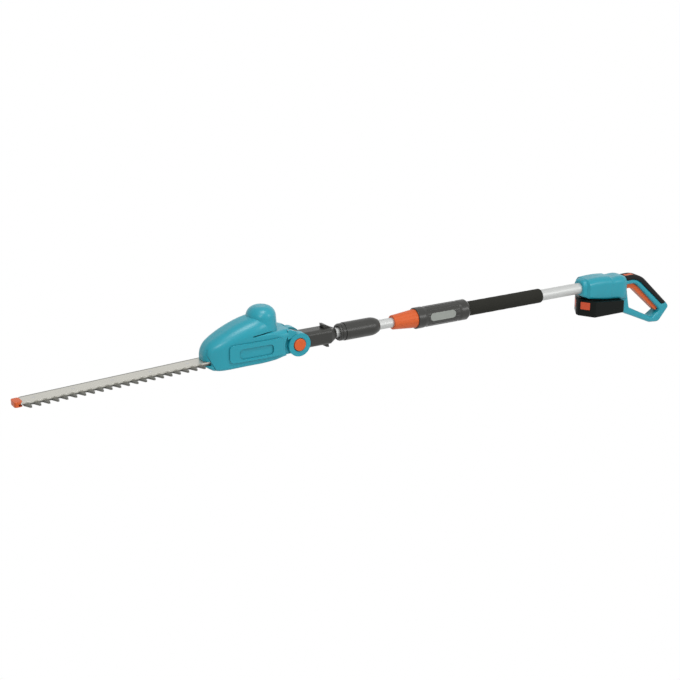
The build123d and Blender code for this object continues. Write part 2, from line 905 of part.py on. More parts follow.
head_screw_sites = [
    (screw_front, screw_front_height),
    (screw_crown, screw_crown_height),
    (x_pivot - ear_gap_radius - screw_rear - x_nose, screw_rear_height),
]
housing_screw_size = (
    handle_half_width + room - housing_screw_sink,
    -housing_screw_reach,
    housing_screw_radius,
    housing_screw_head,
    room,
)
head_screw_size = (screw_reach, screw_radius, screw_head_radius, screw_sink)

panel_front = x_nose + panel_start
panel_rear = panel_front + panel_length
field_front = panel_front + field_margin
field_rear = field_front + field_length


def side_panel(x_from, x_to, z_from, z_to, corner):
    """A rounded oblong seen from the side, right across the head."""
    with BuildSketch(Plane.XZ) as oblong:
        with Locations(((x_from + x_to) / 2, (z_from + z_to) / 2)):
            RectangleRounded(x_to - x_from, z_to - z_from, corner)
    extrude(oblong.sketch, amount=2 * head_half_width, both=True)


with BuildPart() as head_cavity:
    head_form(head_wall)
    add(dome_form(head_wall))

with BuildPart() as panel_band:
    side_panel(panel_front, panel_rear, panel_foot, panel_top, panel_round)
    with BuildPart(mode=Mode.INTERSECT):
        hull_run(head_sections, x_nose, -panel_proud, sole_round)
        hull_run(ledge_sections, x_nose, -panel_proud, sole_round)
        hull_run(ledge_rear_sections, x_nose, -panel_proud, sole_round)
    with BuildPart(mode=Mode.SUBTRACT):
        side_panel(field_front, field_rear, field_foot, field_top, field_round)

with BuildPart() as nose_core:
    hull_run(nose_sections, x_nose, seam_depth, sole_round)
    hull_run(head_sections, x_nose, seam_depth, sole_round)

with BuildPart() as head_body:
    head_form(0)
    add(dome_form(0))
    # the seam across the nose
    with BuildSketch(Plane.XZ):
        with BuildLine():
            seam_path = Polyline(*[(x_nose + behind, height) for behind, height in seam_line])
        trace(seam_path, seam_width)
    extrude(amount=head_half_width, both=True, mode=Mode.SUBTRACT)
    add(nose_core.part)
    add(panel_band.part)
    # the ears and their raised roots, with the knuckle's slot between them
    side_disc(ear_radius, x_pivot, 0, -ear_face, ear_face)
    with BuildSketch(Plane.XZ):
        with Locations((x_pivot - ear_gap_radius / 2 - breach / 2, 0)):
            Rectangle(ear_gap_radius + breach, 2 * ear_neck)
    extrude(amount=ear_neck_face, both=True)
    for side in (-1, 1):
        horn_seat = Plane.XZ.offset(side * horn_inner)
        with BuildSketch(horn_seat):
            with BuildLine():
                Polyline(*[(x_pivot - ahead, height) for ahead, height in horn_outline], close=True)
            make_face()
        extrude(amount=side * (horn_face - horn_inner))
    side_disc(ear_radius + room, x_pivot, 0, -ear_gap, ear_gap, Mode.SUBTRACT)
    with BuildSketch(Plane.XZ):
        with Locations((x_pivot + ear_radius / 2, 0)):
            Rectangle(2 * ear_radius, 3 * ear_radius)
    extrude(amount=ear_gap, both=True, mode=Mode.SUBTRACT)
    side_disc(button_radius + button_gap, x_pivot, 0, -ear_face - breach, y_ear_web, Mode.SUBTRACT)
    side_disc(core_radius + fit, x_pivot, 0, y_ear_web - breach, -ear_gap + breach, Mode.SUBTRACT)
    side_disc(pivot_pin_radius, x_pivot, 0, ear_gap - breach, ear_face + breach, Mode.SUBTRACT)
    side_disc(pin_head_radius, x_pivot, 0, ear_face - pin_head_thick, ear_face + breach, Mode.SUBTRACT)
    add(head_cavity.part, mode=Mode.SUBTRACT)
    # the gap between the upper body and the ledge
    for side in (-1, 1):
        slit_seat = Plane.XZ.offset(side * (head_half_width + breach))
        with BuildSketch(slit_seat):
            with Locations((x_nose + slit_start + slit_length / 2, slit_height - slit_width / 2)):
                SlotOverall(slit_length, slit_width, rotation=slit_turn)
        extrude(amount=-side * (breach + slit_deep), mode=Mode.SUBTRACT)
    # the way out for the blades
    mouth_floor = w_lower - room
    mouth_half = blade_tip_half + room
    tunnel_half = bar_half_width + room
    mouth_end = u_nose + slot_depth
    drive_plate(u_nose - 2 * breach, mouth_end, mouth_half, mouth_floor, room, 0, Mode.SUBTRACT)
    drive_plate(u_nose, -base_front, tunnel_half, mouth_floor, room, 0, Mode.SUBTRACT)
    # ribs that carry the gearbox
    for u, drop in ((-seat_rib_front, seat_rib_front_drop), (seat_rib_rear, seat_rib_rear_drop)):
        drive_plate(u, u + seat_rib, tongue_half, w_base - drop, w_base)
    for behind, z in head_screw_sites:
        x = x_nose + behind
        boss_end = head_side(behind) - head_wall
        side_disc(screw_boss_radius, x, z, -boss_end, boss_end)
        screw_hole(x, z, head_side(behind) - screw_sink, *head_screw_size)
keep(split(head_body.part, bisect_by=Plane.XZ, keep=Keep.TOP), "head_shell_left")
keep(split(head_body.part, bisect_by=Plane.XZ, keep=Keep.BOTTOM), "head_shell_right")

with BuildPart() as head_screws:
    for behind, z in head_screw_sites:
        screw(x_nose + behind, z, head_side(behind) - screw_sink, *head_screw_size)
keep(head_screws.part, "head_screws")

# === blades =================================================================
u_guard_rear = -bar_tip - guard_nose + guard_length
u_blade_front = -last_tooth_reach - (tooth_count - 1) * tooth_pitch - tooth_root / 2
rivet_sites = [-(rivet_first + k * rivet_pitch) for k in range(rivet_count)]
bar_bolt_sites = [-(bar_bolt_first + k * bar_bolt_pitch) for k in range(2)]



def bar_plate(w_from, w_to, grow, mode=Mode.ADD):
    """The guide bar's outline: a broad plate that narrows at its tip."""
    with BuildSketch(drive.offset(w_from)) as plate:
        with BuildLine():
            Polyline(
                (-bar_tip, -bar_tip_half - grow),
                (-bar_tip, bar_tip_half + grow),
                (-bar_tip + bar_tip_taper, bar_half_width + grow),
                (-bar_rear, bar_half_width + grow),
                (-bar_rear, -bar_half_width - grow),
                (-bar_tip + bar_tip_taper, -bar_half_width - grow),
                close=True,
            )
        make_face()
    extrude(plate.sketch, amount=w_to - w_from, mode=mode)


with BuildPart() as guide_bar:
    bar_plate(w_bar, 0, 0)
    for u in rivet_sites:
        drive_disc(rivet_radius, u, 0, w_bar - breach, breach, Mode.SUBTRACT)
        drive_disc(rivet_head_radius, u, 0, -rivet_head, breach, Mode.SUBTRACT)
    for u in bar_bolt_sites:
        drive_disc(bolt_radius, u, 0, w_bar - breach, breach, Mode.SUBTRACT)
keep(guide_bar.part, "guide_bar")


def blade(w_from, w_to):
    """A blade with teeth along its left side, and the yoke that an eccentric drives."""
    drive_plate(u_blade_front, -eccentric_radius, blade_half_width, w_from, w_to)
    with BuildSketch(drive.offset(w_from)) as teeth:
        for k in range(tooth_count):
            u = -last_tooth_reach - k * tooth_pitch
            with BuildLine() as outline:
                Polyline(
                    (u - tooth_root / 2, room - blade_half_width),
                    (u + tooth_lean - tooth_tip / 2, -blade_tip_half),
                    (u + tooth_lean + tooth_tip / 2, -blade_tip_half),
                    (u + tooth_root / 2, room - blade_half_width),
                    close=True,
                )
            make_face(outline.edges())
    extrude(teeth.sketch, amount=w_to - w_from)
    slot = eccentric_radius + sine_room
    drive_plate(-slot - yoke_wall, slot + yoke_wall, yoke_half_width, w_from, w_to, yoke_wall)
    slot_half = yoke_half_width - yoke_wall / 2
    drive_plate(-slot, slot, slot_half, w_from - breach, w_to + breach, 0, Mode.SUBTRACT)
    for u in rivet_sites + bar_bolt_sites:
        with BuildSketch(drive.offset(w_from - breach)) as way:
            with Locations((u, 0)):
                SlotCenterToCenter(2 * stroke + 2 * slide, 2 * (rivet_radius + slide))
        extrude(way.sketch, amount=w_to - w_from + 2 * breach, mode=Mode.SUBTRACT)


with BuildPart() as upper_blade:
    blade(w_upper, w_upper_top)
keep(upper_blade.part, "upper_blade")

with BuildPart() as lower_blade:
    blade(w_lower, w_lower_top)
keep(lower_blade.part, "lower_blade")

with BuildPart() as blade_rivets:
    for u in rivet_sites:
        drive_disc(rivet_radius, u, 0, w_lower - slide, 0)
        drive_disc(rivet_head_radius, u, 0, -rivet_head, 0)
        drive_disc(rivet_washer_radius, u, 0, w_lower - slide - rivet_washer, w_lower - slide)
keep(blade_rivets.part, "blade_rivets")

with BuildPart() as tip_guard:
    guard_floor = guard_above - guard_height
    drive_plate(-bar_tip - guard_nose, u_guard_rear, guard_half_width, guard_floor, guard_above)
    fillet(tip_guard.edges().filter_by(Axis((0, 0, 0), drive.z_dir)), guard_nose)
    bar_plate(w_bar, 0, 0, Mode.SUBTRACT)
    u_swept = u_blade_front - stroke - room
    guard_out = u_guard_rear + breach
    drive_plate(u_swept, guard_out, 2 * guard_half_width, w_lower - run, w_bar, 0, Mode.SUBTRACT)
keep(tip_guard.part, "tip_guard")

# === drive ==================================================================
def toothed(radius, teeth, depth, u, w_from, w_to):
    """A spur wheel: a disc with round-bottomed tooth spaces."""
    drive_disc(radius, u, 0, w_from, w_to)
    with BuildSketch(drive.offset(w_from)) as spaces:
        with Locations((u, 0)):
            with PolarLocations(radius, teeth):
                Rectangle(2 * depth, math.pi * radius / teeth)
    extrude(spaces.sketch, amount=w_to - w_from, mode=Mode.SUBTRACT)


with BuildPart() as drive_gear:
    toothed(gear_radius, gear_teeth, gear_tooth_depth, 0, w_gear, w_gear + gear_thick)
    drive_disc(hub_radius, 0, 0, w_upper_top + slide, w_gear)
    drive_disc(eccentric_radius, 0, stroke, w_upper - slide, w_upper_top + slide)
    drive_disc(eccentric_radius, 0, -stroke, w_lower - slide, w_upper - slide)
    drive_disc(axle_radius + fit, 0, 0, w_lower - breach, w_gear + gear_thick + breach, Mode.SUBTRACT)
keep(drive_gear.part, "drive_gear")

post_sites = [(u * post_along, v * post_across) for u in (-1, 1) for v in (-1, 1)]
with BuildPart() as gearbox_base:
    base_half = post_across + post_radius
    drive_plate(-post_along - post_radius, base_rear, base_half, w_base, w_base_top, post_radius)
    drive_plate(-base_front, 0, tongue_half, w_base, w_base_top)
    drive_disc(hub_radius, 0, 0, w_base, w_lower - 2 * slide)
    for u, v in post_sites:
        drive_disc(post_radius, u, v, w_base_top, w_cover)
    for u in bar_bolt_sites:
        drive_disc(bolt_head_radius, u, 0, w_base, w_lower - slide)
        drive_disc(bolt_radius, u, 0, w_base - breach, w_lower + breach, Mode.SUBTRACT)
    drive_disc(axle_radius, 0, 0, w_base - breach, w_lower + breach, Mode.SUBTRACT)
keep(gearbox_base.part, "gearbox_base")

with BuildPart() as bar_bolts:
    for u in bar_bolt_sites:
        drive_disc(bolt_radius, u, 0, w_base, 0)
        drive_disc(bolt_head_radius, u, 0, 0, bolt_head)
keep(bar_bolts.part, "bar_bolts")

with BuildPart() as gear_axle:
    drive_disc(axle_radius, 0, 0, w_base, w_motor)
keep(gear_axle.part, "gear_axle")

with BuildPart() as gearbox_cover:
    cover_rear = u_motor + motor_radius
    drive_plate(-cover_front, cover_rear, post_across + post_radius, w_cover, w_motor, post_radius)
    drive_disc(axle_radius, 0, 0, w_cover - breach, w_motor + breach, Mode.SUBTRACT)
    drive_disc(pinion_radius + room, u_motor, 0, w_cover - breach, w_motor + breach, Mode.SUBTRACT)
keep(gearbox_cover.part, "gearbox_cover")

w_motor_top = w_motor + motor_length
with BuildPart() as motor_can:
    drive_disc(motor_radius, u_motor, 0, w_motor, w_motor_top)
    can_bore = motor_radius - motor_wall
    drive_disc(can_bore, u_motor, 0, w_motor + motor_wall, w_motor_top + breach, Mode.SUBTRACT)
    drive_disc(pinion_radius + room, u_motor, 0, w_motor - breach, w_motor_top, Mode.SUBTRACT)
keep(motor_can.part, "motor_can")

with BuildPart() as motor_magnets:
    w_magnet = w_motor + motor_wall + room
    with BuildSketch(drive.offset(w_magnet)) as ring:
        with Locations((u_motor, 0)):
            Circle(motor_radius - motor_wall)
            Circle(motor_radius - motor_wall - magnet_thick, mode=Mode.SUBTRACT)
            magnet_gap = 2 * motor_radius * math.cos(math.radians(magnet_span / 2))
            Rectangle(2 * motor_radius, magnet_gap, mode=Mode.SUBTRACT)
    extrude(ring.sketch, amount=armature_length)
keep(motor_magnets.part, "motor_magnets")

with BuildPart() as motor_end_bell:
    drive_disc(motor_radius, u_motor, 0, w_motor_top, w_motor_top + end_bell / 2)
    drive_disc(motor_radius / 2, u_motor, 0, w_motor_top, w_motor_top + end_bell)
    bush_top = w_motor_top + end_bell - room
    drive_disc(shaft_radius + fit, u_motor, 0, w_motor_top - breach, bush_top, Mode.SUBTRACT)
keep(motor_end_bell.part, "motor_end_bell")

with BuildPart() as motor_shaft:
    drive_disc(shaft_radius, u_motor, 0, w_gear, w_motor_top + end_bell - 2 * room)
keep(motor_shaft.part, "motor_shaft")

with BuildPart() as motor_pinion:
    toothed(pinion_radius, pinion_teeth, gear_tooth_depth, u_motor, w_gear, w_gear + gear_thick)
    drive_disc(shaft_radius, u_motor, 0, w_gear - breach, w_motor, Mode.SUBTRACT)
keep(motor_pinion.part, "motor_pinion")

with BuildPart() as armature:
    drive_disc(armature_radius, u_motor, 0, w_magnet, w_magnet + armature_length)
    for k in range(armature_slots):
        turn = math.tau * k / armature_slots
        u = u_motor + armature_radius * math.cos(turn)
        v = armature_radius * math.sin(turn)
        drive_disc(armature_slot_radius, u, v, w_magnet, w_magnet + armature_length, Mode.SUBTRACT)
    w_armature_top = w_magnet + armature_length
    drive_disc(shaft_radius, u_motor, 0, w_magnet - breach, w_armature_top + breach, Mode.SUBTRACT)
keep(armature.part, "armature")

with BuildPart() as commutator:
    w_commutator = w_magnet + armature_length + room
    drive_disc(commutator_radius, u_motor, 0, w_commutator, w_commutator + commutator_length)
    drive_disc(shaft_radius, u_motor, 0, w_commutator - breach, w_motor_top, Mode.SUBTRACT)
keep(commutator.part, "commutator")

# === rear housing ===========================================================
def handle_line(x):
    """The height of the grip pad's seat at a place along the pole."""
    bend, end = handle_outline[1], handle_outline[2]
    along = x - x_hole_front
    if along <= bend[0]:
        return bend[1]
    return bend[1] + (along - bend[0]) * (end[1] - bend[1]) / (end[0] - bend[0])


def side_outline(rows, half_width, mode=Mode.ADD):
    """A plate across the pole whose corners are listed behind the finger hole's front."""
    with BuildSketch(Plane.XZ) as outline:
        with BuildLine():
            Polyline(*[(x_hole_front + along, height) for along, height, _ in rows], close=True)
        make_face()
        for along, height, bend in rows:
            if bend > 0:
                fillet(outline.vertices().sort_by_distance((x_hole_front + along, height))[0], bend)
    extrude(outline.sketch, amount=half_width, both=True, mode=mode)


def block(x_from, x_to, half_width, z_from, z_to, mode=Mode.ADD):
    """A plain block, centred on the pole's upright plane."""
    with BuildSketch(Plane.XY.offset(z_from)) as plan:
        with Locations(((x_from + x_to) / 2, 0)):
            Rectangle(x_to - x_from, 2 * half_width)
    extrude(plan.sketch, amount=z_to - z_from, mode=mode)


x_battery_rear = x_hole_front - battery_web
x_battery_front = x_battery_rear - battery_length
x_bay_rear = x_battery_rear + run
x_collar = x_housing_front + collar_length
x_rib = x_collar + rib_spacing
x_last_rib = x_tube_rear - rib_thick
x_trigger_pin = x_hole_front + trigger_pin_along


def on_side_faces(part, x_from, x_to):
    """The edges of a part's two side faces between two places along the pole."""
    edges = part.edges().filter_by(lambda e: abs(abs(e.center().Y) - handle_half_width) < fit)
    return edges.filter_by(lambda e: x_from < e.center().X < x_to)


x_terminal = x_bay_rear
switch_plane = Plane(
    origin=(x_hole_front + switch_along, 0, switch_height),
    x_dir=(math.cos(math.radians(switch_turn)), 0, math.sin(math.radians(switch_turn))),
    z_dir=(0, -1, 0),
)


def switch_block(grow, mode=Mode.ADD):
    """The trigger switch, or its pocket when grown."""
    with BuildSketch(switch_plane) as side:
        Rectangle(switch_length + 2 * grow, switch_deep + 2 * grow)
    extrude(side.sketch, amount=switch_half_width + grow, both=True, mode=mode)


with BuildPart() as grip_pad:
    side_outline(pad_outline, pad_half_width)
    lock_rear = lock_front + lock_length
    crest = grip_pad.edges().filter_by(lambda e: abs(abs(e.center().Y) - pad_half_width) < fit)
    crest = crest.filter_by(lambda e: e.length > pad_thick)
    crest = crest.filter_by(lambda e: e.center().Z > handle_line(e.center().X) + pad_round)
    fillet(crest, pad_round)
    block(
        x_hole_front + lock_front - run,
        x_hole_front + lock_rear + run,
        lock_half_width + run,
        lock_top - lock_deep - lock_travel - run,
        lock_top + breach,
        Mode.SUBTRACT,
    )
keep(grip_pad.part, "grip_pad")

with BuildPart() as lock_button:
    block(
        x_hole_front + lock_front,
        x_hole_front + lock_rear,
        lock_half_width,
        lock_top - lock_deep,
        lock_top,
    )
    fillet(lock_button.edges().group_by(Axis.Z)[-1], room)
keep(lock_button.part, "lock_button")

with BuildPart() as housing_cavity:
    hull_run(housing_sections, x_housing_front, housing_wall, housing_sole_round)
    hull_run(housing_rear_sections[:4], x_housing_front, housing_wall, housing_sole_round)
    block(x_housing_front, x_hole_front, 2 * handle_half_width, battery_base, cavity_floor, Mode.SUBTRACT)
    for x_from, x_to in (
        (x_housing_front, x_collar),
        (x_rib, x_rib + rib_thick),
        (x_last_rib, x_hole_front),
    ):
        block(x_from, x_to, 2 * handle_half_width, battery_base, -battery_base, Mode.SUBTRACT)

# the loop handle, rounded outside and within the finger hole
with BuildPart() as handle_loop:
    side_outline(handle_outline, handle_half_width)
    fillet(on_side_faces(handle_loop, x_battery_rear + run, x_hole_front + body_length), handle_round)
    side_outline(hole_outline, 2 * handle_half_width, Mode.SUBTRACT)
    rim = on_side_faces(handle_loop, x_hole_front, x_hole_front + hole_outline[2][0])
    rim = rim.filter_by(lambda e: hole_outline[3][1] < e.center().Z < hole_outline[0][1] + fit)
    fillet(rim, handle_round)

with BuildPart() as housing_body:
    hull_run(housing_front_sections, x_housing_front, 0, housing_sole_round)
    hull_run(housing_shoulder_sections, x_housing_front, 0, housing_sole_round)
    hull_run(housing_sections, x_housing_front, 0, housing_sole_round)
    hull_run(housing_rear_sections, x_housing_front, 0, housing_sole_round)
    add(handle_loop.part)
    side_outline(slot_outline, trigger_half_width + run, Mode.SUBTRACT)
    add(grip_pad.part, mode=Mode.SUBTRACT)
    block(
        x_hole_front + lock_front - run,
        x_hole_front + lock_rear + run,
        lock_half_width + run,
        lock_top - lock_deep - lock_travel - run,
        lock_top + breach,
        Mode.SUBTRACT,
    )
    add(housing_cavity.part, mode=Mode.SUBTRACT)
    bore(outer_tube_radius, x_housing_front - breach, x_tube_rear)
    # the bay: room for the pack's rail, closed at the rear
    x_bay_front = x_housing_front - breach
    flange_floor = rail_top - rail_flange - run
    block(x_bay_front, x_bay_rear, rail_half + run, flange_floor, rail_top + run, Mode.SUBTRACT)
    block(x_bay_front, x_bay_rear, rail_neck_half + run, battery_base, rail_top, Mode.SUBTRACT)
    block(
        x_bay_front,
        x_bay_rear,
        battery_half_width + room,
        battery_base - breach,
        battery_tail + run,
        Mode.SUBTRACT,
    )
    block(
        x_terminal - breach,
        x_terminal + terminal_length,
        terminal_half_width,
        terminal_z - terminal_height / 2,
        terminal_z + terminal_height / 2,
        Mode.SUBTRACT,
    )
    switch_block(0, Mode.SUBTRACT)
    reach = trigger_half_width + run + trigger_pin_grip
    side_disc(trigger_pin_radius, x_trigger_pin, trigger_pin_height, -reach, reach, Mode.SUBTRACT)
    for behind, z in housing_screw_sites:
        screw_hole(x_housing_front + behind, z, *housing_screw_size)
keep(split(housing_body.part, bisect_by=Plane.XZ, keep=Keep.TOP), "rear_housing_left")
keep(split(housing_body.part, bisect_by=Plane.XZ, keep=Keep.BOTTOM), "rear_housing_right")

with BuildPart() as housing_screws:
    for behind, z in housing_screw_sites:
        screw(x_housing_front + behind, z, *housing_screw_size)
keep(housing_screws.part, "housing_screws")

with BuildPart() as trigger_pin:
    side_disc(trigger_pin_radius, x_trigger_pin, trigger_pin_height, -reach, reach)
keep(trigger_pin.part, "trigger_pin")

with BuildPart() as trigger:
    side_outline(trigger_outline, trigger_half_width)
    side_disc(
        trigger_pin_radius + fit,
        x_trigger_pin,
        trigger_pin_height,
        -trigger_half_width - breach,
        trigger_half_width + breach,
        Mode.SUBTRACT,
    )
keep(trigger.part, "trigger")

with BuildPart() as trigger_switch:
    switch_block(0)
keep(trigger_switch.part, "trigger_switch")

with BuildPart() as control_board:
    block(x_collar, x_rib, board_half_width, board_height, board_height + board_thick)
keep(control_board.part, "control_board")

with BuildPart() as terminal_block:
    block(
        x_terminal + contact_thick,
        x_terminal + terminal_length,
        terminal_half_width,
        terminal_z - terminal_height / 2,
        terminal_z + terminal_height / 2,
    )
    with BuildSketch(Plane.XY.offset(terminal_z - contact_height / 2)) as contacts:
        for k in range(contact_count):
            across = (k - (contact_count - 1) / 2) * contact_pitch
            with Locations((x_terminal + contact_thick - contact_reach / 2, across)):
                Rectangle(contact_reach, contact_thick)
    extrude(contacts.sketch, amount=contact_height)
keep(terminal_block.part, "terminal_block")

# === battery ================================================================
x_pack_mid = (x_battery_front + x_battery_rear) / 2
x_brow = x_battery_front + battery_brow_length
slope = Vector(battery_nose, battery_nose_half - battery_half_width, 0).normalized()


def pack_plan(inset, z_from, z_to, mode=Mode.ADD):
    """The pack's outline from above: a blunt nose and square tail."""
    tip = inset * 1.5
    with BuildSketch(Plane.XY.offset(z_from)) as plan:
        with BuildLine():
            Polyline(
                (x_battery_front + tip, -battery_nose_half),
                (x_battery_front + tip, battery_nose_half),
                (x_battery_front + battery_nose + inset, battery_half_width - inset),
                (x_battery_rear - inset, battery_half_width - inset),
                (x_battery_rear - inset, -battery_half_width + inset),
                (x_battery_front + battery_nose + inset, -battery_half_width + inset),
                close=True,
            )
        make_face()
        fillet(plan.vertices(), battery_corner)
    extrude(plan.sketch, amount=z_to - z_from, mode=mode)


def release_plane(side):
    """The seat of a release button on the nose's slope."""
    out = Vector(-abs(slope.Y), side * abs(slope.X), 0)
    along = Vector(abs(slope.X), side * abs(slope.Y), 0)
    seat = Vector(x_battery_front, side * battery_nose_half, release_z) + along * release_along
    return Plane(origin=seat, x_dir=along, z_dir=out)


def release_block(side, grow, z_from, z_to, mode=Mode.ADD):
    """A release button or its pocket, from one depth to another on its seat."""
    with BuildSketch(release_plane(side).offset(z_from)) as face:
        RectangleRounded(release_width + 2 * grow, release_height + 2 * grow, 2 * release_proud + grow)
    extrude(face.sketch, amount=z_to - z_from, mode=mode)


def cells(grow, mode=Mode.ADD):
    """The row of cells, lying across the pack."""
    z = battery_base + case_wall + cell_radius + 2 * room
    for k in range(cell_count):
        x = x_pack_mid + battery_brow_length / 2 + (k - (cell_count - 1) / 2) * cell_pitch
        side_disc(cell_radius + grow, x, z, -cell_length / 2 - grow, cell_length / 2 + grow, mode)


def pack_pockets():
    """What both halves of the case give up: the cells, the buttons and the contacts."""
    cells(fit, Mode.SUBTRACT)
    for side in (-1, 1):
        depth = release_thick - release_proud + release_travel + run
        release_block(side, run, -depth, breach, Mode.SUBTRACT)
    for k in range(contact_count):
        across = (k - (contact_count - 1) / 2) * contact_pitch
        with BuildSketch(Plane.XY.offset(terminal_z - contact_height / 2 - room)) as way:
            with Locations((x_battery_rear - contact_reach / 2 - run, across)):
                Rectangle(contact_reach + 2 * room, contact_thick + 2 * room)
        extrude(way.sketch, amount=contact_height + 2 * room, mode=Mode.SUBTRACT)


with BuildPart() as battery_case_lower:
    pack_plan(0, battery_base, battery_joint)
    fillet(battery_case_lower.edges().group_by(Axis.Z)[0], battery_base_round)
    pack_pockets()
keep(battery_case_lower.part, "battery_case_lower")

with BuildPart() as battery_case_upper:
    pack_plan(0, battery_joint, battery_shoulder)
    with BuildSketch(Plane.XZ):
        with BuildLine():
            Polyline(
                (x_battery_front - breach, battery_brow - breach),
                (x_battery_front, battery_brow),
                (x_brow, battery_shoulder),
                (x_battery_rear, battery_tail),
                (x_battery_rear + breach, battery_tail),
                (x_battery_rear + breach, 0),
                (x_battery_front - breach, 0),
                close=True,
            )
        make_face()
    extrude(amount=2 * battery_half_width, both=True, mode=Mode.SUBTRACT)
    rail_start = x_battery_front + rail_front
    block(rail_start, x_battery_rear, rail_neck_half, battery_joint, rail_top)
    block(rail_start, x_battery_rear, rail_half, rail_top - rail_flange, rail_top)
    pack_pockets()
keep(battery_case_upper.part, "battery_case_upper")

with BuildPart() as battery_cells:
    cells(0)
keep(battery_cells.part, "battery_cells")

for side, name in ((-1, "battery_button_left"), (1, "battery_button_right")):
    with BuildPart() as release:
        release_block(side, 0, release_proud - release_thick, release_proud)
    keep(release.part, name)
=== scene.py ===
# %% [markdown]
# # A pole hedge trimmer, dressed
# The engineering model is loaded as the frame: every solid is in its place, in metres,
# and knows which body it moves with. This file gives each solid a finish, and models
# again the pieces whose look depends on fine shape: the soft ones, the ground ones, and
# those whose rounded edges catch the light.

import json
import math

import bpy
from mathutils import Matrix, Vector


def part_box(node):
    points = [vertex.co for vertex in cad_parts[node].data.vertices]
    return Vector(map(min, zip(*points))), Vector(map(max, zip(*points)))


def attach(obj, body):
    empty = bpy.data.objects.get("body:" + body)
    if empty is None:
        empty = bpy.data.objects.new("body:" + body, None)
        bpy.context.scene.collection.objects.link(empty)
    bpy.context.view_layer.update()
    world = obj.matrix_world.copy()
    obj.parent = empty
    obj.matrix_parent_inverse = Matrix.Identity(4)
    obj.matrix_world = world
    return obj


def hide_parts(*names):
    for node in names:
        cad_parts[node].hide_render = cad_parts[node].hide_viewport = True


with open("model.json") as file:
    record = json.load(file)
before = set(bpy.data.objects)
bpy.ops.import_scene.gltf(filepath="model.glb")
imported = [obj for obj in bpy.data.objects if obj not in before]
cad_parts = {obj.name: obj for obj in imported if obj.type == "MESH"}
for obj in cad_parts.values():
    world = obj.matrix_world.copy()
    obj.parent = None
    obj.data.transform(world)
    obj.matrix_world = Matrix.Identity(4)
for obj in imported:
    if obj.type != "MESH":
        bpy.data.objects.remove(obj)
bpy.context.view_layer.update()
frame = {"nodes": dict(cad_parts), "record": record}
node = frame["nodes"]
print("frame holds", len(node), "solids")

# %% [markdown]
# ## Camera
# The tool is long and thin, so a camera close by would swell the blade end and shrink the
# handle. A long lens far away keeps the two ends about equally large, as in a catalogue
# picture. The camera could be turned with three angles. Here two angles and a distance say
# where it stands, and it looks back along that line, which is easier to change.

# %% Camera
look_azimuth = -30.0
look_elevation = 18.70
look_distance = 3.3636
look_at = Vector((-0.5759, -0.0047, -0.0159))
lens_length = 85.7
sensor_width = 36.0

turn = math.radians(look_azimuth)
rise = math.radians(look_elevation)
towards_camera = Vector(
    (math.sin(turn) * math.cos(rise), -math.cos(turn) * math.cos(rise), math.sin(rise))
)
bpy.ops.object.camera_add(location=look_at + towards_camera * look_distance)
camera = bpy.context.object
camera.rotation_euler = (-towards_camera).to_track_quat("-Z", "Y").to_euler()
camera.data.lens = lens_length
camera.data.sensor_width = sensor_width
bpy.context.scene.camera = camera
print("camera stands at", [round(v, 3) for v in camera.location])

# %% [markdown]
# ## Floor and air
# A pale floor lies so far below the tool that a tilted head clears it. A white
# background could be had from more light, but that would wash out the tool's colours.
# So floor and air are lit plainly, and show themselves white only to the camera and in
# reflections, where bright metal needs something white to mirror.

# %% A material to fill, and a mix that shows white
pure_white = (1, 1, 1, 1)


def new_material(name):
    """An empty node material, and helpers that add and join its nodes."""
    material = bpy.data.materials.new(name)
    material.use_nodes = True
    tree = material.node_tree
    tree.nodes.clear()

    def add(kind, **inputs):
        made = tree.nodes.new(kind)
        for key, value in inputs.items():
            made.inputs[key.replace("_", " ")].default_value = value
        return made

    return material, add, tree.links.new


def white_when_seen(tree, lit, shown):
    """The lit shader for light, and the shown one for the camera and for reflections."""
    rays = tree.nodes.new("ShaderNodeLightPath")
    seen = tree.nodes.new("ShaderNodeMath")
    seen.operation = "MAXIMUM"
    mixed = tree.nodes.new("ShaderNodeMixShader")
    tree.links.new(rays.outputs["Is Camera Ray"], seen.inputs[0])
    tree.links.new(rays.outputs["Is Glossy Ray"], seen.inputs[1])
    tree.links.new(seen.outputs[0], mixed.inputs[0])
    tree.links.new(lit.outputs[0], mixed.inputs[1])
    tree.links.new(shown.outputs[0], mixed.inputs[2])
    return mixed.outputs[0]


# %% Floor
floor_height = -0.80
floor_side = 60
paper_colour = (0.93, 0.93, 0.93, 1)

bpy.ops.mesh.primitive_plane_add(size=floor_side, location=(0, 0, floor_height))
floor = bpy.context.object
floor.name = "studio_floor"

paper, add, link = new_material("white_paper")
matt = add("ShaderNodeBsdfDiffuse", Color=paper_colour)
glow = add("ShaderNodeEmission", Color=pure_white, Strength=1.0)
output = add("ShaderNodeOutputMaterial")
link(white_when_seen(paper.node_tree, matt, glow), output.inputs["Surface"])
floor.data.materials.append(paper)
print("floor lies at", floor_height, "m")

# %% Air
air_strength = 0.36

world = bpy.data.worlds.new("studio_air")
world.use_nodes = True
bpy.context.scene.world = world
air = world.node_tree
sky = air.nodes["Background"]
sky.inputs["Color"].default_value = pure_white
sky.inputs["Strength"].default_value = air_strength
backdrop = air.nodes.new("ShaderNodeBackground")
backdrop.inputs["Color"].default_value = pure_white
backdrop.inputs["Strength"].default_value = 1.0
air_output = air.nodes["World Output"]
air.links.new(white_when_seen(air, sky, backdrop), air_output.inputs["Surface"])
print("air lights with", air_strength, "of white")

# %% [markdown]
# ## Lamps
# A straight tube throws light on along its own length, so it shines only where a lamp
# stands towards one end and the camera towards the other. One lamp can't do that and give
# the housings their shape as well, so three soft ones share the work: the key lamp from
# the blade end gives shape, the one overhead lays a light top on every housing, and the
# one from the handle end draws a bright line along every tube.

# %% Lamps
lamp_aim = Vector((-0.55, 0.0, 0.0))

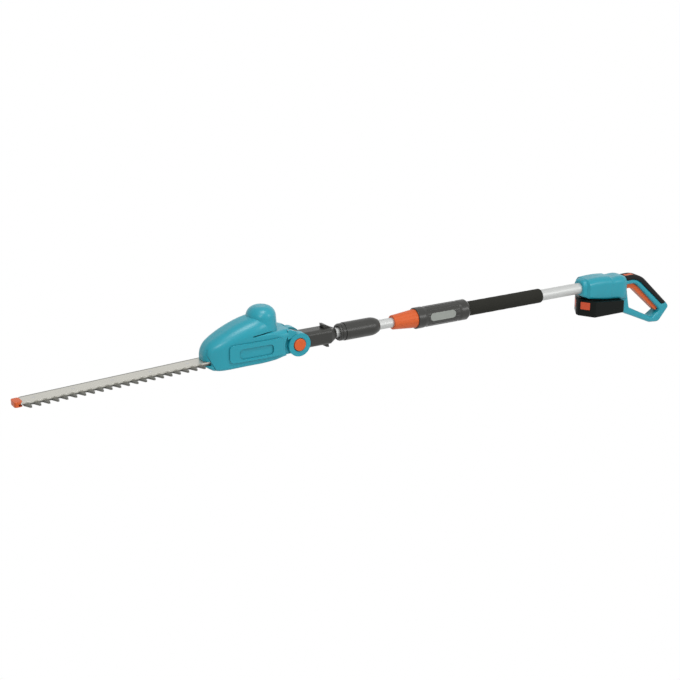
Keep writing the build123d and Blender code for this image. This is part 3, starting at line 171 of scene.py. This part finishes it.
for name, place, size, power in (
    ("lamp_key", (-2.3, -2.9, 2.0), 0.8, 30),
    ("lamp_over", (-0.6, -1.2, 2.8), 1.2, 44),
    ("lamp_side", (1.5, -2.6, 1.2), 0.8, 20),
):
    bpy.ops.object.light_add(type="AREA", location=place)
    lamp = bpy.context.object
    lamp.name = name
    lamp.data.size = size
    lamp.data.energy = power
    lamp.rotation_euler = (lamp_aim - Vector(place)).to_track_quat("-Z", "Y").to_euler()
    print(name, "gives", power, "W")
bpy.context.scene.view_settings.view_transform = "Standard"

# %% [markdown]
# ## What every finish has
# No real surface is one even colour. Mouldings have faint blotches, gloss that comes and
# goes with them, a fine grain, and edges that are never quite sharp. Seams and narrow
# grooves are given painted shade. Image textures could carry all this, but they need unwrapping
# and blur close up. Here it is mixed from noise that is read at each point of the object, so
# it stays sharp and fits any shape: a large noise for blotches and gloss, a small one as
# bump for the grain, ambient occlusion over a few millimetres for the painted shade in
# seams and grooves, and a bevel in the shader for the edges.

# %% Blotches, painted shade and gloss
blotch_scale = 35.0
painted_shade_reach = 0.004
painted_shade_samples = 8
# how open a point is where the painted shade is darkest, and where there is none
painted_shade_full = 0.25
painted_shade_none = 0.85
painted_shade_darkest = 0.35
gloss_swing = 0.08


def colour_with_painted_shade(add, link, colour, blotches, mottle):
    """The colour, lighter and darker in blotches, and darker with painted shade in seams and
    grooves.
    """
    mottling = add("ShaderNodeMapRange", To_Min=1 - mottle, To_Max=1 + mottle)
    link(blotches, mottling.inputs["Value"])
    # painted shade: ambient occlusion over a few millimetres darkens the colour in seams,
    # grooves and recesses
    hollow = add("ShaderNodeAmbientOcclusion", Distance=painted_shade_reach)
    hollow.only_local = True
    hollow.samples = painted_shade_samples
    shade_level = add("ShaderNodeMapRange", From_Min=painted_shade_full, From_Max=painted_shade_none, To_Min=painted_shade_darkest)
    link(hollow.outputs["AO"], shade_level.inputs["Value"])
    both = add("ShaderNodeMath")
    both.operation = "MULTIPLY"
    link(mottling.outputs[0], both.inputs[0])
    link(shade_level.outputs[0], both.inputs[1])
    tint = add("ShaderNodeHueSaturation", Color=(*colour, 1))
    link(both.outputs[0], tint.inputs["Value"])
    return tint.outputs[0]


def uneven_gloss(add, link, rough, blotches):
    """A roughness that swings a little about its value, with the blotches."""
    swing = add("ShaderNodeMapRange", To_Min=rough - gloss_swing, To_Max=rough + gloss_swing)
    link(blotches, swing.inputs["Value"])
    return swing.outputs[0]


# %% Grain and edges


def grained_edges(add, link, pattern, grain, depth, edge):
    """A surface normal with rounded edges and a fine grain."""
    fine = add("ShaderNodeTexNoise", Scale=grain, Detail=2.0)
    link(pattern, fine.inputs["Vector"])
    bump = add("ShaderNodeBump", Distance=depth)
    link(fine.outputs["Fac"], bump.inputs["Height"])
    soft_edge = add("ShaderNodeBevel", Radius=edge)
    link(soft_edge.outputs[0], bump.inputs["Normal"])
    return bump.outputs[0]


# %% The whole finish
coat_rough = 0.3


def finish_coat(
    name,
    colour,
    rough,
    metal=0.0,
    specular=0.5,
    coat=0.0,
    mottle=0.05,
    grain=900.0,
    depth=0.00002,
    edge=0.0004,
    stretch=(1, 1, 1),
):
    """A finish; depth and edge are in metres, and stretch draws the noise out along an axis."""
    material, add, link = new_material(name)
    shader = add(
        "ShaderNodeBsdfPrincipled",
        Metallic=metal,
        Roughness=rough,
        Specular_IOR_Level=specular,
        Coat_Weight=coat,
        Coat_Roughness=coat_rough,
    )
    where = add("ShaderNodeTexCoord")
    place = add("ShaderNodeMapping", Scale=stretch)
    link(where.outputs["Object"], place.inputs["Vector"])
    pattern = place.outputs[0]
    broad = add("ShaderNodeTexNoise", Scale=blotch_scale, Detail=4.0)
    link(pattern, broad.inputs["Vector"])
    blotches = broad.outputs["Fac"]
    link(colour_with_painted_shade(add, link, colour, blotches, mottle), shader.inputs["Base Color"])
    link(uneven_gloss(add, link, rough, blotches), shader.inputs["Roughness"])
    link(grained_edges(add, link, pattern, grain, depth, edge), shader.inputs["Normal"])
    output = add("ShaderNodeOutputMaterial")
    link(shader.outputs[0], output.inputs["Surface"])
    return material


# %% A shelf of finishes
finish = {}


def mix_finishes(looks):
    """Make a finish from each row, and keep it under its slot's name."""
    for name, look in looks.items():
        finish[name] = finish_coat(name, **look)
        print("finish:", name)


# %% [markdown]
# ## Moulded plastics
# The housings are injection-moulded, and one colour all through. The teal shells have the
# gloss of a polished mould, which a thin clear coat gives better than a lower roughness,
# because the colour under it stays soft. Grey parts are a glass-filled plastic with a
# deeper grain. Black ones reflect little, so that they stay black under the lamps. The
# large mouldings get a wider rounding in the shader than the small ones.

# %% Moulded plastics
wide_edge = 0.0014

mix_finishes(
    {
        "teal_plastic": {
            "colour": (0.009, 0.312, 0.398),
            "rough": 0.42,
            "specular": 0.25,
            "coat": 0.5,
            "mottle": 0.04,
            "edge": wide_edge,
        },
        "orange_plastic": {
            "colour": (0.66, 0.112, 0.022),
            "rough": 0.42,
            "specular": 0.35,
            "edge": 0.0008,
        },
        "red_plastic": {"colour": (0.62, 0.080, 0.026), "rough": 0.40, "specular": 0.35},
        "grey_plastic": {
            "colour": (0.022, 0.022, 0.019),
            "rough": 0.34,
            "depth": 0.00003,
            "edge": wide_edge,
        },
        "black_plastic": {"colour": (0.004, 0.006, 0.005), "rough": 0.36, "specular": 0.12},
        "pale_plate": {"colour": (0.285, 0.305, 0.280), "rough": 0.35},
    }
)

# %% [markdown]
# ## Rubber and foam
# The pad on the handle is a soft rubber moulded over the shell, matt and with a grain that
# can be felt. The foam's skin is full of cut cells. Both could get real dents, but those
# are far smaller than a face of the mesh, so a deep bump does it.

# %% Rubber and foam
mix_finishes(
    {
        "soft_grip": {
            "colour": (0.008, 0.009, 0.009),
            "rough": 0.6,
            "specular": 0.16,
            "depth": 0.00008,
        },
        "foam": {
            "colour": (0.022, 0.022, 0.018),
            "rough": 0.9,
            "specular": 0.2,
            "grain": 1400.0,
            "depth": 0.0002,
        },
    }
)

# %% [markdown]
# ## Metals
# The tubes are drawn and anodised aluminium: satin, pale, and with faint lines that run
# along them. Full metal would only mirror, and anodising scatters light too, so the tube
# is part metal. The blades are ground across their length. Both could have their lines
# from a wave pattern, but that looks too regular. They come from the same noise as every
# grain here, drawn out along the lines.

# %% Metals
blade_colour = (0.55, 0.54, 0.49)
blade_rough = 0.40
ground_steel = {"metal": 0.85, "depth": 0.00001, "stretch": (1, 0.05, 1)}

mix_finishes(
    {
        "silver_tube": {
            "colour": (0.55, 0.56, 0.55),
            "rough": 0.46,
            "metal": 0.4,
            "depth": 0.000004,
            "stretch": (0.04, 1, 1),
        },
        "blade_steel": {"colour": blade_colour, "rough": blade_rough, **ground_steel},
        "plain_steel": {"colour": (0.50, 0.50, 0.49), "rough": 0.35, "metal": 1.0},
        "cast_aluminium": {"colour": (0.56, 0.56, 0.56), "rough": 0.55, "metal": 1.0},
        "brass_contact": {"colour": (0.72, 0.52, 0.22), "rough": 0.3, "metal": 1.0},
    }
)

# %% [markdown]
# ## Board and cells
# The circuit board and the cells' shrink wrap are seen only when the tool is taken apart.
# They still get finishes of their own, because a part's inside is looked at too.

# %% Board and cells
mix_finishes(
    {
        "board": {"colour": (0.015, 0.12, 0.05), "rough": 0.5},
        "cell_wrap": {"colour": (0.05, 0.14, 0.35), "rough": 0.3},
    }
)

# %% [markdown]
# ## Finishes on their solids
# The engineering model's record says which finish each node takes. Going by the record is
# surer than assigning materials one by one, because no node can be forgotten, and a
# finish that is missing stops the script.

# %% Every solid gets its finish
for entry in frame["record"]["subparts"]:
    solid = node[entry["node"]]
    solid.data.materials.clear()
    solid.data.materials.append(finish[entry["material_slot"]])

# %% [markdown]
# ## Foam grip
# A sleeve of closed-cell foam, pushed over the tube. Its ends are rounded and dip in
# towards the tube, and its skin is faintly uneven where the foam was skived to size. Cloth
# simulation is the usual way to soft pieces, but this one is held tight by the tube and
# has no folds. So it is turned: a circle of points is extruded a little way along the pole
# and scaled, again and again, as a lathe's profile would go. A cloudy displacement of less
# than two tenths of a millimetre then makes the skin uneven.

# %% A turned piece
weld_distance = 0.000002
turned_smooth = 35


def only(piece):
    """Make one object the selected and active one."""
    bpy.ops.object.select_all(action="DESELECT")
    piece.select_set(True)
    bpy.context.view_layer.objects.active = piece


def turned_piece(name, rows, points):
    """A surface of revolution about the pole's axis, from (x, radius) rows."""
    bpy.ops.object.select_all(action="DESELECT")
    last_x, last_radius = rows[0]
    bpy.ops.mesh.primitive_circle_add(vertices=points, radius=last_radius)
    piece = bpy.context.object
    piece.name = name
    piece.rotation_euler = (0, math.radians(90), 0)
    piece.location = (last_x, 0, 0)
    bpy.ops.object.transform_apply(location=True, rotation=True, scale=True)
    bpy.ops.object.mode_set(mode="EDIT")
    bpy.ops.mesh.select_all(action="SELECT")
    for x, radius in rows[1:]:
        bpy.ops.mesh.extrude_region_move(TRANSFORM_OT_translate={"value": (x - last_x, 0, 0)})
        grow = radius / last_radius
        bpy.ops.transform.resize(value=(1, grow, grow), center_override=(x, 0, 0))
        last_x, last_radius = x, radius
    bpy.ops.mesh.select_all(action="SELECT")
    bpy.ops.mesh.remove_doubles(threshold=weld_distance)
    bpy.ops.mesh.normals_make_consistent(inside=False)
    bpy.ops.object.mode_set(mode="OBJECT")
    bpy.ops.object.shade_smooth_by_angle(angle=math.radians(turned_smooth))
    return piece


# %% The foam's profile
foam_low, foam_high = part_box("foam_grip")
foam_start, foam_end = foam_low[0], foam_high[0]
foam_radius = foam_high[2]
tube_radius = 0.0125
end_round = 0.003
end_room = 0.0001
skin_room = 0.00018
# the dip at each end: how far in from the end, and how far off the tube
dip_rows = ((0.0022, 0.0002), (0.0004, 0.0012))
slow_wave, slow_pace = 0.00009, 0.47
quick_wave, quick_pace = 0.00006, 1.3
skin_rows = 90


def foam_end_rows(end, inward):
    """Rows from the tube out to the full radius; inward is the way into the sleeve."""
    rows = [(end + inward * depth, tube_radius + gap) for depth, gap in dip_rows]
    for degrees in range(0, 91, 15):
        bend = math.radians(degrees)
        x = end + inward * end_round * (1 - math.cos(bend))
        rows.append((x, foam_radius - end_round * (1 - math.sin(bend)) - end_room))
    return rows


foam_rows = foam_end_rows(foam_start, 1)
even_length = foam_end - foam_start - 2 * end_round
for k in range(1, skin_rows):
    x = foam_start + end_round + even_length * k / skin_rows
    uneven = slow_wave * math.sin(k * slow_pace) + quick_wave * math.sin(k * quick_pace)
    foam_rows.append((x, foam_radius - skin_room + uneven))
foam_rows += reversed(foam_end_rows(foam_end, -1))
print("foam profile:", len(foam_rows), "rows over", round(foam_end - foam_start, 4), "m")

# %% Foam grip


def wear(piece, body, slot, *stands_for, coat=None):
    """Give a piece its finish, let it move with its body, and hide what it stands for."""
    piece.data.materials.clear()
    piece.data.materials.append(coat or finish[slot])
    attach(piece, body)
    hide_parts(*stands_for)


foam = turned_piece("foam_sleeve", foam_rows, points=120)
skin = bpy.data.textures.new("foam_skin", type="CLOUDS")
skin.noise_scale = 0.006
only(foam)
uneven_skin = foam.modifiers.new("uneven", "DISPLACE")
uneven_skin.texture = skin
uneven_skin.texture_coords = "LOCAL"
uneven_skin.strength = skin_room
uneven_skin.mid_level = 1.0
bpy.ops.object.modifier_apply(modifier="uneven")
wear(foam, "handle_unit", "foam", "foam_grip")
print("foam sleeve:", len(foam.data.polygons), "faces")

# %% [markdown]
# ## Blades and guide bar
# The blades are stamped and then ground, so every tooth has a bright bevel. The guide bar
# is a broad plate whose long edges are broken. The teeth could be drawn again, one by one,
# but the frame's solids have them in the right places. So each piece starts as a copy of
# its solid: the loose triangles are merged into faces, and the sharp edges are bevelled.
# Bevels alone would shade the flats in streaks, so the flats are cut into triangles and
# their normals weighted by area, which keeps them even in the light.

# %% A copied piece with bevelled edges
flat_angle = 0.5
bevelled_smooth = 50


def copied_piece(name, source):
    """A copy of a frame solid with its triangles merged into faces."""
    piece = bpy.data.objects.new(name, node[source].data.copy())
    bpy.context.scene.collection.objects.link(piece)
    only(piece)
    bpy.ops.object.mode_set(mode="EDIT")
    bpy.ops.mesh.select_all(action="SELECT")
    bpy.ops.mesh.remove_doubles(threshold=weld_distance)
    bpy.ops.mesh.dissolve_limited(angle_limit=math.radians(flat_angle))
    bpy.ops.mesh.normals_make_consistent(inside=False)
    bpy.ops.object.mode_set(mode="OBJECT")
    return piece


def bevel_sharp(piece, width, segments, sharper=35.0):
    """Bevel the sharp edges of a piece, and keep its large faces flat in the light."""
    only(piece)
    bpy.ops.object.mode_set(mode="EDIT")
    bpy.ops.mesh.select_mode(type="EDGE")
    bpy.ops.mesh.select_all(action="DESELECT")
    bpy.ops.mesh.edges_select_sharp(sharpness=math.radians(sharper))
    bpy.ops.mesh.bevel(offset=width, segments=segments, profile=0.5, clamp_overlap=True)
    bpy.ops.mesh.select_all(action="SELECT")
    bpy.ops.mesh.quads_convert_to_tris(quad_method="BEAUTY", ngon_method="BEAUTY")
    bpy.ops.object.mode_set(mode="OBJECT")
    bpy.ops.object.shade_smooth_by_angle(angle=math.radians(bevelled_smooth))
    even = piece.modifiers.new("even_light", "WEIGHTED_NORMAL")
    even.keep_sharp = True
    even.weight = 100
    bpy.ops.object.modifier_apply(modifier="even_light")


# %% Blades
# painted shade: the teeth take a darker copy of the blade steel, for the shade on their sides
# and under them
shaded_tooth_steel = finish_coat("shaded_tooth_steel", (0.17, 0.17, 0.155), 0.42, **ground_steel)

for source in ("upper_blade", "lower_blade"):
    ground = copied_piece(source + "_ground", source)
    bevel_sharp(ground, width=0.0005, segments=1)
    wear(ground, source, "blade_steel", source, coat=shaded_tooth_steel)
    print(ground.name, len(ground.data.polygons), "faces")

# %% [markdown]
# ## Painted shade on the guide bar's rolled edge
# The bar's long edge away from the teeth is rolled down, so it lies in shade and looks darker
# than the flat. A second piece of geometry for it would leave a seam. The finish paints that
# shade instead: it reads how far a point lies across the bar, and turns to a darker colour over
# the last few millimetres.

# %% Painted shade on the rolled edge
shaded_edge_width = 0.0045
blend_share = 0.3
# painted shade: the dark colour that the bar's far edge turns to, standing in for the shade on
# the rolled edge
painted_edge_shade_colour = (0.20, 0.20, 0.18, 1)
_, bar_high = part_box("guide_bar")
shaded_edge_start = bar_high[1] - shaded_edge_width
shaded_edge_full = shaded_edge_start + blend_share * shaded_edge_width

bar_steel = finish_coat("bar_steel", blade_colour, blade_rough, **ground_steel)
bar_tree = bar_steel.node_tree
bar_shader = next(n for n in bar_tree.nodes if n.type == "BSDF_PRINCIPLED")
flat_colour = bar_shader.inputs["Base Color"].links[0].from_socket
where = bar_tree.nodes.new("ShaderNodeTexCoord")
across = bar_tree.nodes.new("ShaderNodeSeparateXYZ")
bar_tree.links.new(where.outputs["Object"], across.inputs[0])
edge_shade_ramp = bar_tree.nodes.new("ShaderNodeMapRange")
edge_shade_ramp.inputs["From Min"].default_value = shaded_edge_start
edge_shade_ramp.inputs["From Max"].default_value = shaded_edge_full
bar_tree.links.new(across.outputs["Y"], edge_shade_ramp.inputs["Value"])
shaded_edge_mix = bar_tree.nodes.new("ShaderNodeMix")
shaded_edge_mix.data_type = "RGBA"
shaded_edge_mix.inputs["B"].default_value = painted_edge_shade_colour
bar_tree.links.new(edge_shade_ramp.outputs[0], shaded_edge_mix.inputs["Factor"])
bar_tree.links.new(flat_colour, shaded_edge_mix.inputs["A"])
bar_tree.links.new(shaded_edge_mix.outputs["Result"], bar_shader.inputs["Base Color"])
print("rolled edge from y =", round(shaded_edge_start, 4))

# %% Guide bar
plate = copied_piece("guide_bar_plate", "guide_bar")
bevel_sharp(plate, width=0.0007, segments=2)
wear(plate, "cutting_head", "blade_steel", "guide_bar", coat=bar_steel)
print(plate.name, len(plate.data.polygons), "faces")

# %% [markdown]
# ## Tip guard
# A small moulded cap on the bar's end, which meets walls and stones before the blades do.
# All of its edges are well rounded, and at its size the rounding is most of its shape. A
# bevel in the shader only bends the light, so this one is cut in the mesh.

# %% Tip guard
cap = copied_piece("tip_cap", "tip_guard")
bevel_sharp(cap, width=0.0012, segments=3)
wear(cap, "cutting_head", "orange_plastic", "tip_guard")
print(cap.name, len(cap.data.polygons), "faces")

# %% [markdown]
# ## Soft grip, controls and pack
# The overmoulded pad, the buttons and the pack's case have generous radii, and the clamp
# nut's flutes have fine ones. Real bevels give the thin highlights that run along the
# black parts, where the shader's own rounding is too faint to see. One loop makes them
# all: each row names the solid, its body, its slot, and the bevel's width and steps.

# %% Soft grip, controls and pack
# mouldings have some shallow edges too, which count as sharp from this angle on
moulded_sharp = 32.0

for source, body, slot, width, segments in (
    ("grip_pad", "handle_unit", "soft_grip", 0.0008, 2),
    ("lock_button", "lock_button", "orange_plastic", 0.0006, 2),
    ("trigger", "trigger", "orange_plastic", 0.0012, 3),
    ("battery_case_upper", "battery", "black_plastic", 0.0009, 2),
    ("battery_case_lower", "battery", "black_plastic", 0.0006, 2),
    ("clamp_nut", "clamp_nut", "orange_plastic", 0.0004, 1),
):
    piece = copied_piece(source + "_moulded", source)
    bevel_sharp(piece, width, segments, sharper=moulded_sharp)
    wear(piece, body, slot, source)
    print(piece.name, len(piece.data.polygons), "faces")
